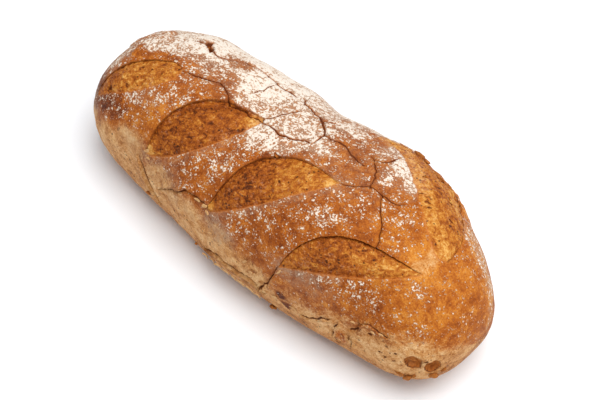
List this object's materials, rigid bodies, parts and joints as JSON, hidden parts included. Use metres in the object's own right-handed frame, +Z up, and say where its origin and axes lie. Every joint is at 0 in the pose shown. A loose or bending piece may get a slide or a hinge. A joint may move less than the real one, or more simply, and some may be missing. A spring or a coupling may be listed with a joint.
{
  "type": "bread loaf",
  "caption": "Long hand-shaped spelt loaf, uncut, with slanting scores opened by the oven, a cracked crust and a flat underside.",
  "frame": {"origin": "a point of the flat underside, below the middle of the loaf's length and below its core line, which the section's two half widths are measured from", "axes": "+X runs along the loaf, +Z is up, out of the crest, and +Y is to the side that the wide fifth score lies on"},
  "size_m": [0.3102, 0.1348, 0.0945],
  "materials": {
    "crust": "baked crust, matte, with flour dusted over its crest"
  },
  "bodies": {
    "root": {"loaf": "crust"}
  },
  "joints": []
}
